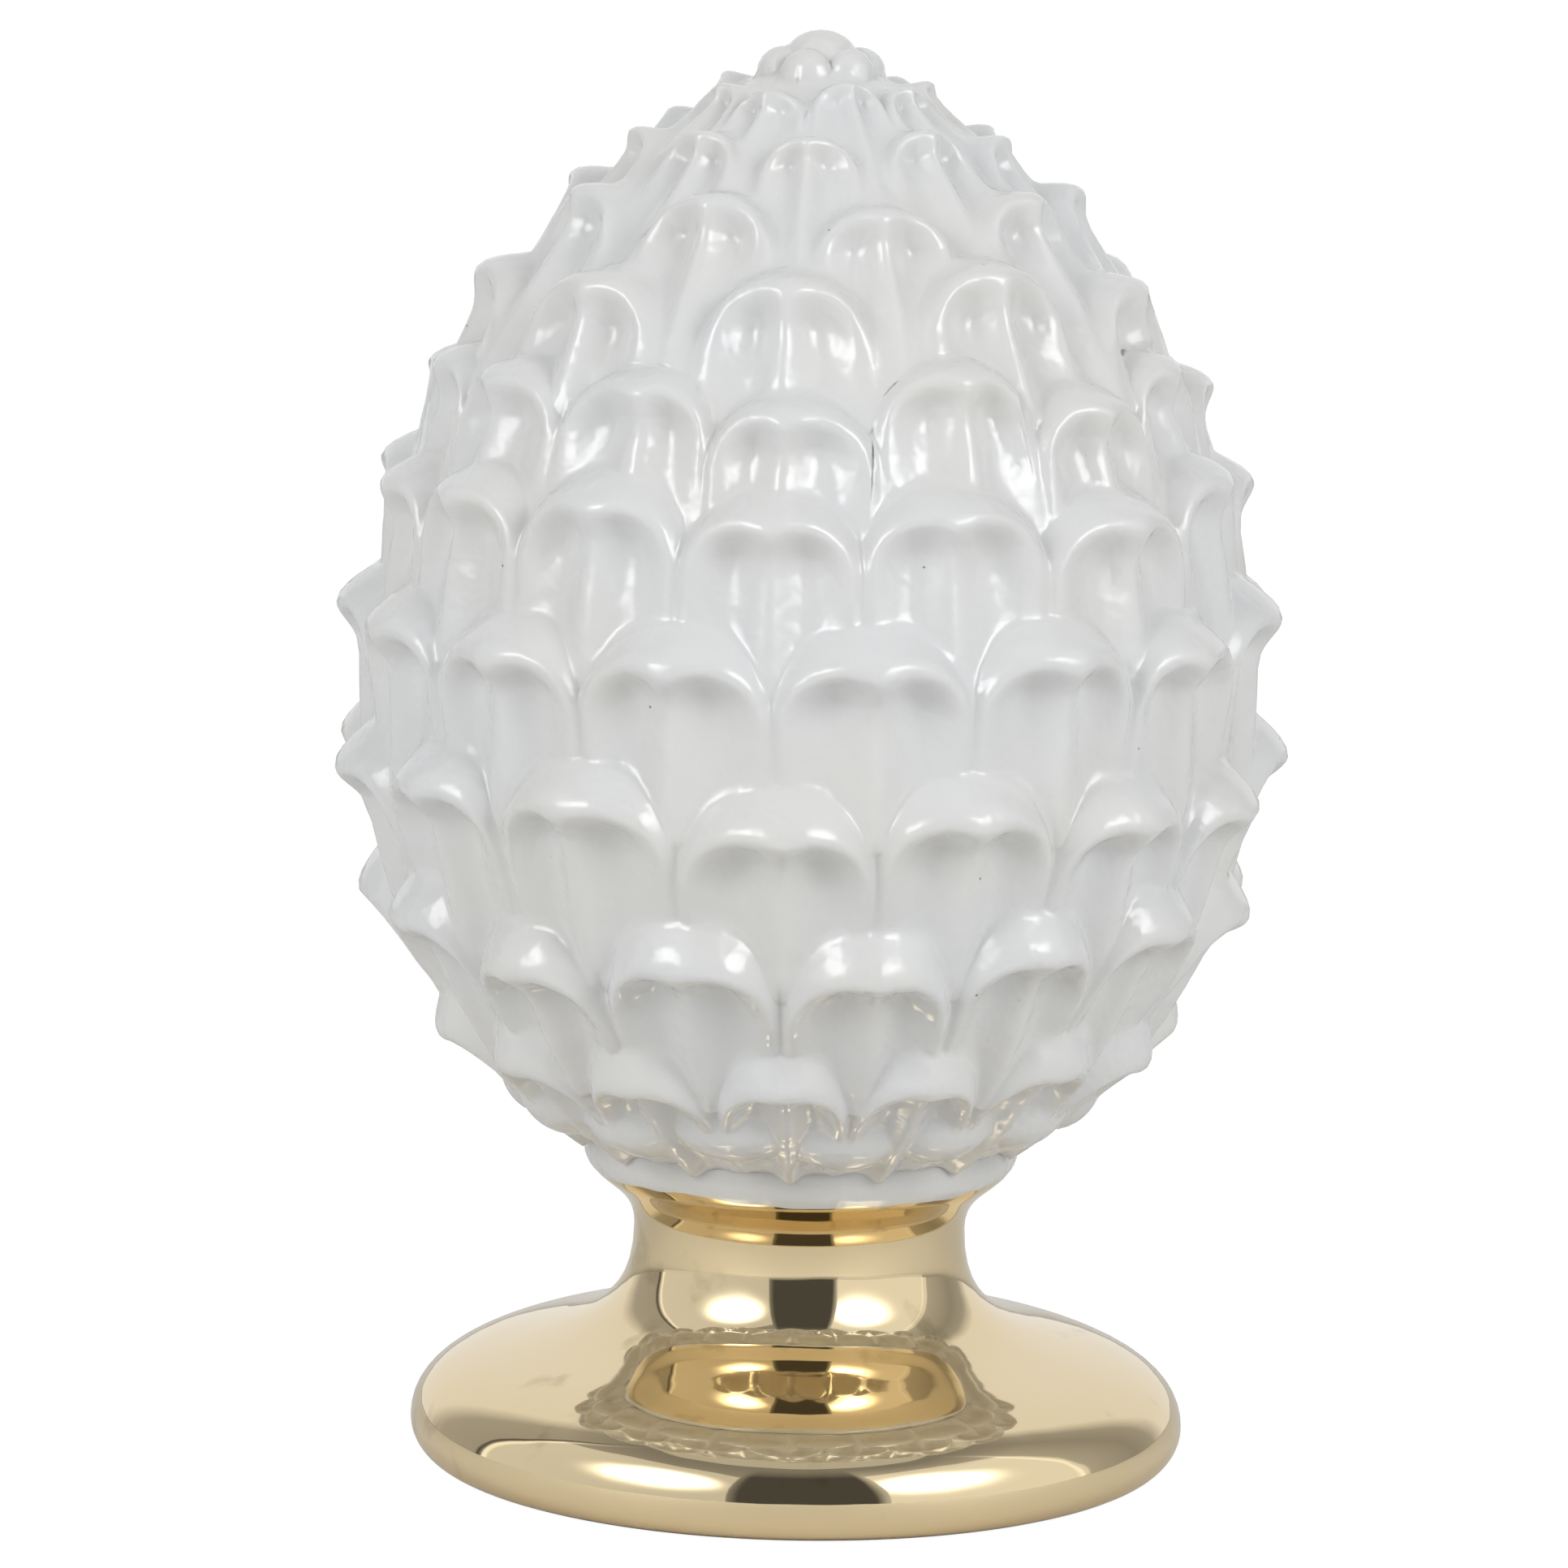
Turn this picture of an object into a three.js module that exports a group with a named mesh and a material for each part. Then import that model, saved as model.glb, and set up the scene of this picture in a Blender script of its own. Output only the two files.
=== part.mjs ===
// Pinecone finial: a glazed ceramic pinecone on a waisted foot with gold lustre, cast as one piece.
// Millimetres, +Z up, the front towards -Y. The origin is on the ground under the middle of the foot.
import * as THREE from "three";

// Foot, neck and collar, turned about the Z axis.
const FOOT_RADIUS = 80.9;
const RIM_ROUNDING = 7.5; // radius of the rim's lower edge
const SHOULDER_RADIUS = 62.6; // where the foot's round shoulder runs out into its slope
const SHOULDER_HEIGHT = 23.5;
const SHOULDER_SLOPE = 15.8; // degrees
const NECK_RADIUS = 34.6;
const NECK_HEIGHT = 49; // height of the narrowest place
const NECK_FLARE = 19; // the reach below that place of the neck's bend into the foot
const COLLAR_RADIUS = 45.4;
const COLLAR_HEIGHT = 66; // height of the collar's widest place
const COVE_DEPTH = 7.2; // how far below that place the collar turns in to the neck
const LUSTRE_EDGE = 62; // the gold ends here, on the underside of the collar
const SEAT_WIDTH = 15; // width of the flat ring that the finial stands on
const RECESS_DEPTH = 3; // of the hollow inside that ring

// The cone without its scales: a half ellipse below the belly and a blunt taper above it.
const CONE_BASE = 69.5;
const CONE_STEP = 1.6; // how far the cone starts inside the collar's widest place
const BELLY_HEIGHT = 158;
const BELLY_RADIUS = 88;
const CONE_TIP = 294;
const TAPER_POWER = 2.2;
const BLUNTNESS = 1.2;
const BUD_HEIGHT = 4.5; // the small dome at the tip
const BUD_RADIUS = 7.5;

// Rows of scales, the lowest first.
//   seat    how far up the cone's curve the brows are, from 0 at the collar to 1 at the tip
//   count   scales in the row
//   turn    degrees from the front to the first scale
//   width   share of its pitch that a scale takes
//   arch, ledge, relief  height of the round top, depth of the slope from its edge down to the
//           brow, and how far the brow stands out, as shares of the scale's half width
//   ridge, spine, hollow  width of the middle ridge, and how far it and the hollows beside it
//           stand out under the brow, as shares of the relief
//   stray   how far a scale strays from its even place, as a share of its half width
//   seed    picks the row's own pattern of strays
//   fillet  millimetres by which the row's upper edge runs out into the rows behind it
// The scales of a row of lobes are plain ovals, twice as high as their arch.
const FULL = { count: 15, width: 1, ridge: 0.27, spine: 0.58, hollow: 0.04, fillet: 0.6 };
const SPARSE = { count: 9, width: 0.76, ridge: 0.25, spine: 0.78, hollow: 0.05, fillet: 2 };
const CLOSE = { ...SPARSE, width: 0.94 };
const LOBES = { count: 15, lobes: true, width: 0.9, fillet: 0.8 };
const CROWN = { ...LOBES, count: 6 };
const ROWS = [
  { ...LOBES, seat: 0.057, turn: 8, arch: 0.75, ledge: 0.7, relief: 0.55, stray: 0.27, seed: 3318 },
  { ...FULL, seat: 0.133, turn: -4, arch: 1.8, ledge: 0.72, relief: 0.62, stray: 0.15, seed: 2866 },
  { ...FULL, seat: 0.236, turn: 8, arch: 1.45, ledge: 0.63, relief: 0.66, stray: 0.26, seed: 3880 },
  { ...FULL, seat: 0.339, turn: -4, arch: 1.22, ledge: 0.64, relief: 0.65, stray: 0.22, seed: 2073 },
  { ...FULL, seat: 0.445, turn: 8, arch: 1.18, ledge: 0.68, relief: 0.62, stray: 0.14, seed: 3229 },
  { ...FULL, seat: 0.547, turn: -4, arch: 1.22, ledge: 0.71, relief: 0.62, stray: 0.21, seed: 1857 },
  { ...FULL, seat: 0.634, turn: -4, arch: 1.3, ledge: 0.77, relief: 0.66, stray: 0.3, seed: 2431 },
  { ...SPARSE, seat: 0.715, turn: -6, arch: 1.35, ledge: 0.75, relief: 0.7, stray: 0.21, seed: 336 },
  { ...SPARSE, seat: 0.787, turn: 13.5, arch: 1.35, ledge: 0.8, relief: 0.8, stray: 0.15, seed: 3977 },
  { ...SPARSE, seat: 0.857, turn: -5, arch: 1.4, ledge: 0.85, relief: 0.88, stray: 0.3, seed: 1301 },
  { ...CLOSE, seat: 0.918, turn: 12.5, arch: 1.4, ledge: 0.85, relief: 0.86, stray: 0.26, seed: 1596 },
  { ...CROWN, seat: 0.967, turn: -17.5, arch: 1.2, ledge: 1.2, relief: 1.1, stray: 0.2, seed: 2950 },
];

// The form of one scale, in shares of its half width or of its relief.
const ARCH_POWER = 2.05; // 2 would be an ellipse, more is squarer
const SIDE_LAP = 1.12; // how far it reaches under its neighbour
const CROTCH = 0.58; // how far down its arch it meets its neighbour
const RIM = 0.8; // where the brow runs down the sides
const RIM_RELIEF = 0.48; // how far the rim stands out beside the arch
const RIM_FADE = 1.2; // and how soon it dies away below
const BROW_ROUNDING = 0.32;
const FACE_RELIEF = 0.42; // of the ridge far below the brow
const RIDGE_FADE = 0.75;
const HOLLOW_RELIEF = 0.14; // of the face beside the ridge, far below the brow
const HOLLOW_FADE = 0.5;
const DROP = 0.12; // how soon the face falls away behind the brow
const SIDE_DROP = 0.14; // added to that down the sides
const NOSE_DROP = 0.12; // and over the ridge
const NOSE_WIDTH = 0.28;
const TUCK = 0.22; // a scale covers the ones behind it from this far inside its edge
const TUCK_SLOPE = 2;
const COVER = 0.72; // how far down its arches a full row starts to cover all that is behind it
const SIDE_FILLET = 1.6; // millimetres by which neighbours run into each other
const SKIN = 0.6; // millimetres of the bare cone that always shows between scales

// Fineness of the mesh.
const FULL_COLUMNS = 4; // columns to each half scale of a full row
const SPARSE_COLUMNS = 3; // and of the other rows
const COLUMN_PULL = 0.45; // how strongly the columns crowd at ridges and between scales
const PEDESTAL_COLUMNS = 36;
const PROFILE_STEPS = 3; // straight steps to each curve of the pedestal
const TIP_STEPS = [0.7, 0.3]; // rings between the tip and the highest row
const FACE_STEPS = [0.5]; // rings between the hollow under a brow and the next row
const SILL_DROP = 0.36; // how far the hollow is under its brow, in half widths
const BROW_BAND = [0.1, 0.45]; // the shares of its row's band that a brow stays between
const SILL_BAND = 0.75; // and the one that the hollow stays above
const SEARCH_STEP = 0.02; // in half widths, when looking for the edge of a scale
const LEAST_BAND = 2.5; // millimetres from one row's roots to the next row's
const ARC_HANDLE = 0.5523; // handle of a Bezier curve that draws a quarter circle of radius 1

const GLAZE = new THREE.MeshStandardMaterial({ color: 0xf3f4f2, roughness: 0.08, metalness: 0 });
const LUSTRE = new THREE.MeshStandardMaterial({ color: 0xd9b96e, roughness: 0.1, metalness: 1 });

// The bare cone's outline, radius as x and height as y, from the collar (t = 0) to the tip (t = 1).
class ConeCurve extends THREE.Curve {
  getPoint(t) {
    const start = -Math.acos((COLLAR_RADIUS - CONE_STEP) / BELLY_RADIUS);
    const angle = start + t * (Math.PI / 2 - start);
    const climb = Math.sin(angle);
    if (angle < 0) {
      const drop = (BELLY_HEIGHT - CONE_BASE) / Math.sin(start);
      return new THREE.Vector2(BELLY_RADIUS * Math.cos(angle), BELLY_HEIGHT - drop * climb);
    }
    const taper = (1 - climb ** TAPER_POWER) ** (1 / BLUNTNESS);
    return new THREE.Vector2(BELLY_RADIUS * taper, BELLY_HEIGHT + (CONE_TIP - BELLY_HEIGHT) * climb);
  }
}

const cone = new ConeCurve();
const CONE_LENGTH = cone.getLength();

// Each row with its lengths in millimetres: half a scale's width, and the way up to its arches' tops.
const rows = ROWS.map((row) => {
  const halfWidth = (row.width * Math.PI * cone.getPointAt(row.seat).x) / row.count;
  return { ...row, halfWidth, pitch: 360 / row.count, top: row.seat * CONE_LENGTH + row.ledge * halfWidth };
});

// A steady number from -1 to 1 for one scale of a row.
function strayOf(row, scale, which) {
  const number = THREE.MathUtils.euclideanModulo(scale, row.count);
  const mixed = Math.sin(row.seed * 12.9898 + number * 78.233 + which * 37.719) * 43758.5453;
  return 2 * (mixed - Math.floor(mixed)) - 1;
}

// The angle of a scale's middle, in degrees from the front.
function middleOf(row, scale) {
  return row.turn + row.pitch * (scale + 0.5 * row.stray * row.width * strayOf(row, scale, 1));
}

// The greater of two heights, rounded out where they are alike.
function smoothMax(a, b, rounding) {
  return (a + b + Math.hypot(a - b, rounding)) / 2;
}

// Where a place is against the outline of a scale. across and down are in half widths: across from
// -1 to 1, down from 0 at the arch's top. out is 0 in the middle of the arch and 1 on the outline.
function placeInScale(row, across, down) {
  const side = Math.abs(across) / SIDE_LAP;
  const rise = 1 - down / row.arch;
  const up = row.lobes ? Math.abs(rise) : Math.max(0, rise);
  const out = (side ** ARCH_POWER + up ** ARCH_POWER) ** (1 / ARCH_POWER);
  const steep = up / Math.max(Math.hypot(up, side), 1e-6);
  const reach = row.arch * steep ** 2 + 1 - steep ** 2;
  const brow = RIM + (1 - row.ledge / row.arch - RIM) * steep ** 2;
  return { out, steep, reach, brow };
}

// How far the slope from a scale's edge down to its brow has risen, both from 0 to 1.
function ledgeRise(share) {
  const whole = Math.hypot(1, BROW_ROUNDING);
  return (whole - Math.hypot(1 - share, BROW_ROUNDING)) / (whole - BROW_ROUNDING);
}

// Height of the face below the brow, as a share of the relief: a ridge between two hollows.
function faceRise(row, across, down) {
  const below = Math.max(0, down - row.ledge);
  const ridge = FACE_RELIEF + (row.spine - FACE_RELIEF) * Math.exp(-below / RIDGE_FADE);
  const hollow = HOLLOW_RELIEF + (row.hollow - HOLLOW_RELIEF) * Math.exp(-below / HOLLOW_FADE);
  return hollow + (ridge - hollow) * Math.exp(-((across / row.ridge) ** 2));
}

// Height of one scale over the bare cone, in half widths. It is negative outside the outline.
function scaleHeight(row, across, down) {
  const { out, steep, reach, brow } = placeInScale(row, across, down);
  if (out >= 1) return (1 - out) * reach;
  if (row.lobes) return row.relief * Math.sqrt(1 - out ** 2);
  const rim = RIM_RELIEF * Math.exp(-Math.max(0, down - row.arch) / RIM_FADE);
  const crest = rim + (1 - rim) * steep ** 1.3;
  if (out > brow) return row.relief * crest * ledgeRise((1 - out) / (1 - brow));
  const face = faceRise(row, across, down);
  const nose = Math.exp(-((across / NOSE_WIDTH) ** 2));
  const drop = DROP + SIDE_DROP * (1 - steep ** 2) + NOSE_DROP * nose;
  const kept = Math.exp(-((((brow - out) * reach) / drop) ** 2));
  return row.relief * (face + (crest - face) * kept);
}

// Where an angle and a way up the cone are in one scale of a row, in its half widths. Each side of a
// scale reaches half way to its neighbour's middle.
function scalePlace(row, scale, angle, climb) {
  const middle = middleOf(row, scale);
  const away = angle - middle;
  const toNeighbour = Math.abs(middleOf(row, scale + (away < 0 ? -1 : 1)) - middle);
  return {
    across: (2 * away) / (row.width * toNeighbour),
    down: (row.top - climb) / row.halfWidth + row.stray * strayOf(row, scale, 2),
  };
}

// Height in millimetres of a row at an angle in degrees and a way up the cone's curve, and how much
// lower than its own surface the rows behind it have to stay there.
function rowHeight(row, angle, climb) {
  const nearest = Math.round((angle - row.turn) / row.pitch);
  let height = -row.halfWidth;
  let inside = -Infinity;
  for (const scale of [nearest - 1, nearest, nearest + 1]) {
    const { across, down } = scalePlace(row, scale, angle, climb);
    const { out, reach } = placeInScale(row, across, down);
    height = smoothMax(height, scaleHeight(row, across, down) * row.halfWidth, SIDE_FILLET);
    inside = Math.max(inside, (1 - out) * reach);
  }
  const below = row.width < 1 ? 0 : (row.top - climb) / row.halfWidth - COVER * row.arch;
  const tucked = TUCK_SLOPE * (Math.max(0, inside - TUCK) + Math.max(0, below)) * row.halfWidth;
  return { height, tucked };
}

// Height in millimetres over the bare cone of the rows from the tip down to the given one.
function heightDownTo(first, angle, climb) {
  const fromTip = CONE_LENGTH - climb;
  let height = Math.max(SKIN, BUD_HEIGHT * Math.exp(-((fromTip / BUD_RADIUS) ** 4)));
  for (let i = rows.length - 1; i >= first; i -= 1) {
    const own = rowHeight(rows[i], angle, climb);
    height = smoothMax(height - own.tucked, own.height, rows[i].fillet);
  }
  return height;
}

// A point on the circle of a radius and height, at an angle in degrees from the front.
function turned(radius, height, angle) {
  const a = THREE.MathUtils.degToRad(angle);
  return new THREE.Vector3(radius * Math.sin(a), -radius * Math.cos(a), height);
}

// A point of the scaled surface.
function onCone(angle, climb) {
  const share = climb / CONE_LENGTH;
  const foot = cone.getPointAt(share);
  const along = cone.getTangentAt(share);
  const height = heightDownTo(0, angle, climb);
  return turned(foot.x + height * along.y, foot.y - height * along.x, angle);
}

// How far up the cone a row comes out from under the rows above it, at an angle. Between scales
// that don't meet, that is as far down as they would meet at.
function rootClimb(index, angle) {
  const row = rows[index];
  const end = CROTCH * row.arch + row.stray;
  for (let down = -2 * row.stray; down < end; down += SEARCH_STEP) {
    const climb = row.top - down * row.halfWidth;
    const own = rowHeight(row, angle, climb);
    if (own.height > heightDownTo(index + 1, angle, climb) - own.tucked) return climb;
  }
  return row.top - end * row.halfWidth;
}

// How far up the cone a row's brow is, at an angle.
function browClimb(row, angle) {
  const nearest = Math.round((angle - row.turn) / row.pitch);
  const { across, down: lowered } = scalePlace(row, nearest, angle, row.top);
  let down = 0;
  while (down < row.arch) {
    const { out, brow } = placeInScale(row, across, down);
    if (out < brow) break;
    down += SEARCH_STEP;
  }
  return row.top - (down - lowered) * row.halfWidth;
}

// The angles of a row's columns, crowded at the ridges and between the scales.
function columnsOf(row) {
  const perHalf = row.lobes || row.count < FULL.count ? SPARSE_COLUMNS : FULL_COLUMNS;
  const angles = [];
  for (let scale = 0; scale < row.count; scale += 1) {
    const [middle, following] = [middleOf(row, scale), middleOf(row, scale + 1)];
    for (let step = 0; step < 2 * perHalf; step += 1) {
      const share = step / perHalf;
      const eased = share - (COLUMN_PULL * Math.sin(2 * Math.PI * share)) / (2 * Math.PI);
      angles.push(THREE.MathUtils.euclideanModulo(middle + (following - middle) * 0.5 * eased, 360));
    }
  }
  return angles.sort((a, b) => a - b);
}

// Rings of the cone from its tip down. Each row has one along its roots, its brows and the hollows
// under them, and more down its faces, so that the edges of the mesh follow the carving.
function coneRings() {
  const rings = [];
  const addRing = (angles, climbs) => {
    rings.push({ angles, points: angles.map((angle, k) => onCone(angle, climbs[k])) });
  };
  for (let i = rows.length - 1; i >= 0; i -= 1) {
    const angles = columnsOf(rows[i]);
    const stations = angles.map((angle) => bandStations(i, angle));
    if (i === rows.length - 1) {
      const towardsTip = (share) => stations.map(([root]) => root + share * (CONE_LENGTH - root));
      TIP_STEPS.forEach((share) => addRing(angles, towardsTip(share)));
    }
    stations[0].forEach((_, station) => addRing(angles, stations.map((climbs) => climbs[station])));
  }
  return rings;
}

// The way up to a row's root and to the root of the row below it, at an angle, kept in order.
function bandEnds(index, angle) {
  let own = CONE_LENGTH;
  let next = CONE_LENGTH - LEAST_BAND;
  for (let i = rows.length - 1; i >= index; i -= 1) {
    own = Math.min(rootClimb(i, angle), next);
    next = own - LEAST_BAND;
  }
  return [own, index === 0 ? 0 : Math.min(rootClimb(index - 1, angle), next)];
}

// The ways up at which a row's band is cut into rings, at an angle.
function bandStations(index, angle) {
  const row = rows[index];
  const [root, next] = bandEnds(index, angle);
  const span = root - next;
  const [highest, lowest] = BROW_BAND.map((share) => root - share * span);
  const brow = THREE.MathUtils.clamp(browClimb(row, angle), lowest, highest);
  const sill = Math.max(brow - SILL_DROP * row.halfWidth, root - SILL_BAND * span);
  return [root, brow, sill, ...FACE_STEPS.map((share) => sill + share * (next - sill))];
}

// The pedestal's outline from the cone down to the middle of the underside.
function pedestalProfile() {
  const slope = Math.tan(THREE.MathUtils.degToRad(SHOULDER_SLOPE));
  const flareReach = 0.6 * (SHOULDER_RADIUS - NECK_RADIUS);
  const rimReach = 0.6 * (FOOT_RADIUS - SHOULDER_RADIUS);
  const path = new THREE.Path();
  path.moveTo(COLLAR_RADIUS - CONE_STEP, CONE_BASE);
  path.quadraticCurveTo(COLLAR_RADIUS, CONE_BASE, COLLAR_RADIUS, COLLAR_HEIGHT);
  const cove = COLLAR_HEIGHT - COVE_DEPTH;
  path.bezierCurveTo(COLLAR_RADIUS, cove, NECK_RADIUS, cove, NECK_RADIUS, NECK_HEIGHT);
  path.bezierCurveTo(
    NECK_RADIUS,
    NECK_HEIGHT - NECK_FLARE,
    SHOULDER_RADIUS - flareReach,
    SHOULDER_HEIGHT + slope * flareReach,
    SHOULDER_RADIUS,
    SHOULDER_HEIGHT,
  );
  path.bezierCurveTo(
    SHOULDER_RADIUS + rimReach,
    SHOULDER_HEIGHT - slope * rimReach,
    FOOT_RADIUS,
    (SHOULDER_HEIGHT + RIM_ROUNDING) / 2,
    FOOT_RADIUS,
    RIM_ROUNDING,
  );
  const rimInside = FOOT_RADIUS - RIM_ROUNDING;
  const round = RIM_ROUNDING * ARC_HANDLE;
  path.bezierCurveTo(FOOT_RADIUS, RIM_ROUNDING - round, rimInside + round, 0, rimInside, 0);
  const seatInside = rimInside - SEAT_WIDTH;
  path.lineTo(seatInside, 0);
  path.lineTo(seatInside - RECESS_DEPTH, RECESS_DEPTH);
  return path.getPoints(PROFILE_STEPS);
}

function pedestalRings() {
  const angles = Array.from({ length: PEDESTAL_COLUMNS }, (_, k) => (360 * k) / PEDESTAL_COLUMNS);
  return pedestalProfile().map((p) => ({ angles, points: angles.map((angle) => turned(p.x, p.y, angle)) }));
}

// Triangles between two rings whose columns may differ, the upper ring's points starting at index
// upperStart. Where the columns agree, the shorter diagonal is taken.
function stitch(upper, lower, upperStart, lowerStart, triangles) {
  const [na, nb] = [upper.angles.length, lower.angles.length];
  const at = (angles, i) => (i < angles.length ? angles[i] : angles[i - angles.length] + 360);
  let [i, j] = [0, 0];
  while (i < na || j < nb) {
    const lead = i < na ? at(upper.angles, i + 1) : Infinity;
    const trail = j < nb ? at(lower.angles, j + 1) : Infinity;
    const a = i % na;
    const b = j % nb;
    const nextA = (i + 1) % na;
    const nextB = (j + 1) % nb;
    let advanceUpper = lead < trail;
    if (Math.abs(lead - trail) < 1e-6) {
      const oneWay = upper.points[nextA].distanceTo(lower.points[b]);
      advanceUpper = oneWay < upper.points[a].distanceTo(lower.points[nextB]);
    }
    if (advanceUpper) {
      triangles.push([upperStart + a, lowerStart + b, upperStart + nextA]);
      i += 1;
    } else {
      triangles.push([upperStart + a, lowerStart + b, lowerStart + nextB]);
      j += 1;
    }
  }
}

// Closes a ring with a fan round one point.
function fan(count, start, middle, facingUp, triangles) {
  for (let i = 0; i < count; i += 1) {
    const [a, b] = [start + i, start + ((i + 1) % count)];
    triangles.push(facingUp ? [middle, a, b] : [middle, b, a]);
  }
}

// One closed mesh from rings listed from the top down, with a point at each end. The triangles under
// the lustre's edge come last, as a second group.
function finialGeometry() {
  const rings = [...coneRings(), ...pedestalRings()];
  const points = [];
  const starts = rings.map((r) => points.push(...r.points) - r.points.length);
  const triangles = [];
  const tip = points.push(onCone(0, CONE_LENGTH)) - 1;
  const under = points.push(new THREE.Vector3(0, 0, RECESS_DEPTH)) - 1;
  fan(rings[0].points.length, starts[0], tip, true, triangles);
  for (let i = 0; i + 1 < rings.length; i += 1) {
    stitch(rings[i], rings[i + 1], starts[i], starts[i + 1], triangles);
  }
  const last = rings.length - 1;
  fan(rings[last].points.length, starts[last], under, false, triangles);

  const isGold = (corners) => corners.every((k) => points[k].z < LUSTRE_EDGE);
  const white = triangles.filter((corners) => !isGold(corners));
  const gold = triangles.filter(isGold);
  const geometry = new THREE.BufferGeometry().setFromPoints(points);
  geometry.setIndex([...white, ...gold].flat());
  geometry.addGroup(0, white.length * 3, 0);
  geometry.addGroup(white.length * 3, gold.length * 3, 1);
  geometry.computeVertexNormals();
  return geometry;
}

function pineconeFinial() {
  const mesh = new THREE.Mesh(finialGeometry(), [GLAZE, LUSTRE]);
  mesh.name = "pinecone_finial";
  return mesh;
}

const part = new THREE.Group();
part.add(pineconeFinial());

export default part;
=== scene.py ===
"""Pinecone finial: the glazed and lustred surface of the ceramic pinecone, finer than its solid.

Metres, +Z up, the front towards -Y. The carving follows the same formulas as the solid.
"""
import math

import bpy
import numpy as np
from mathutils import Matrix, Vector


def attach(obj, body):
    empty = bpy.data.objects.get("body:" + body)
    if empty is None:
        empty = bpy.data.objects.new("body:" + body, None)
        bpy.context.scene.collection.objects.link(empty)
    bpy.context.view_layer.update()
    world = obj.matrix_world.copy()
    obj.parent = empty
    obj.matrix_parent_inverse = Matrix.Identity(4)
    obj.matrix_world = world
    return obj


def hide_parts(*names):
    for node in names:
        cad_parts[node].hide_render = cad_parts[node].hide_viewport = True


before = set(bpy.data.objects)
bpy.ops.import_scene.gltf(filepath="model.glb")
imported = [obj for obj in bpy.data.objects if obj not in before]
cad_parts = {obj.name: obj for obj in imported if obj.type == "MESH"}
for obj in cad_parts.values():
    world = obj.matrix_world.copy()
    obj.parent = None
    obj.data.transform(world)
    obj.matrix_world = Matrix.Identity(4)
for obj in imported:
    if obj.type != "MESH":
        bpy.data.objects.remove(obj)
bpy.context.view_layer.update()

# Foot, neck and collar, turned about the Z axis.
FOOT_RADIUS = 0.0809
RIM_ROUNDING = 0.0075
SHOULDER_RADIUS = 0.0626
SHOULDER_HEIGHT = 0.0235
SHOULDER_SLOPE = math.radians(15.8)
NECK_RADIUS = 0.0346
NECK_HEIGHT = 0.049
NECK_FLARE = 0.019
COLLAR_RADIUS = 0.0454
COLLAR_HEIGHT = 0.066
COVE_DEPTH = 0.0072
SEAT_WIDTH = 0.015
RECESS_DEPTH = 0.003

# The cone without its scales.
CONE_BASE = 0.0695
CONE_STEP = 0.0016
BELLY_HEIGHT = 0.158
BELLY_RADIUS = 0.088
CONE_TIP = 0.294
TAPER_POWER = 2.2
BLUNTNESS = 1.2
BUD_HEIGHT = 0.0045
BUD_RADIUS = 0.0075

# Rows of scales, the lowest first. seat: how far up the cone's curve the brows are. turn: degrees
# from the front to the first scale. width: the share of its pitch that one takes. arch, ledge and
# relief: the height of the round top, the depth of the slope from its edge down to the brow, and how
# far the brow stands out, as shares of the half width. ridge, spine and hollow: the middle ridge's
# width, and how far it and the hollows beside it stand out, as shares of the relief. stray: how far
# scales stray, and the seed of that. fillet: how softly the row runs into the rows behind it.
# The scales of a row of lobes are plain ovals, twice as high as their arch.
FULL = {"count": 15, "width": 1.0, "ridge": 0.27, "spine": 0.58, "hollow": 0.04, "fillet": 0.0006}
SPARSE = {"count": 9, "width": 0.76, "ridge": 0.25, "spine": 0.78, "hollow": 0.05, "fillet": 0.002}
CLOSE = {**SPARSE, "width": 0.94}
LOBES = {"count": 15, "lobes": True, "width": 0.9, "fillet": 0.0008}
CROWN = {**LOBES, "count": 6}
ROWS = [
    dict(LOBES, seat=0.057, turn=8, arch=0.75, ledge=0.7, relief=0.55, stray=0.27, seed=3318),
    dict(FULL, seat=0.133, turn=-4, arch=1.8, ledge=0.72, relief=0.62, stray=0.15, seed=2866),
    dict(FULL, seat=0.236, turn=8, arch=1.45, ledge=0.63, relief=0.66, stray=0.26, seed=3880),
    dict(FULL, seat=0.339, turn=-4, arch=1.22, ledge=0.64, relief=0.65, stray=0.22, seed=2073),
    dict(FULL, seat=0.445, turn=8, arch=1.18, ledge=0.68, relief=0.62, stray=0.14, seed=3229),
    dict(FULL, seat=0.547, turn=-4, arch=1.22, ledge=0.71, relief=0.62, stray=0.21, seed=1857),
    dict(FULL, seat=0.634, turn=-4, arch=1.3, ledge=0.77, relief=0.66, stray=0.3, seed=2431),
    dict(SPARSE, seat=0.715, turn=-6, arch=1.35, ledge=0.75, relief=0.7, stray=0.21, seed=336),
    dict(SPARSE, seat=0.787, turn=13.5, arch=1.35, ledge=0.8, relief=0.8, stray=0.15, seed=3977),
    dict(SPARSE, seat=0.857, turn=-5, arch=1.4, ledge=0.85, relief=0.88, stray=0.3, seed=1301),
    dict(CLOSE, seat=0.918, turn=12.5, arch=1.4, ledge=0.85, relief=0.86, stray=0.26, seed=1596),
    dict(CROWN, seat=0.967, turn=-17.5, arch=1.2, ledge=1.2, relief=1.1, stray=0.2, seed=2950),
]

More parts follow.
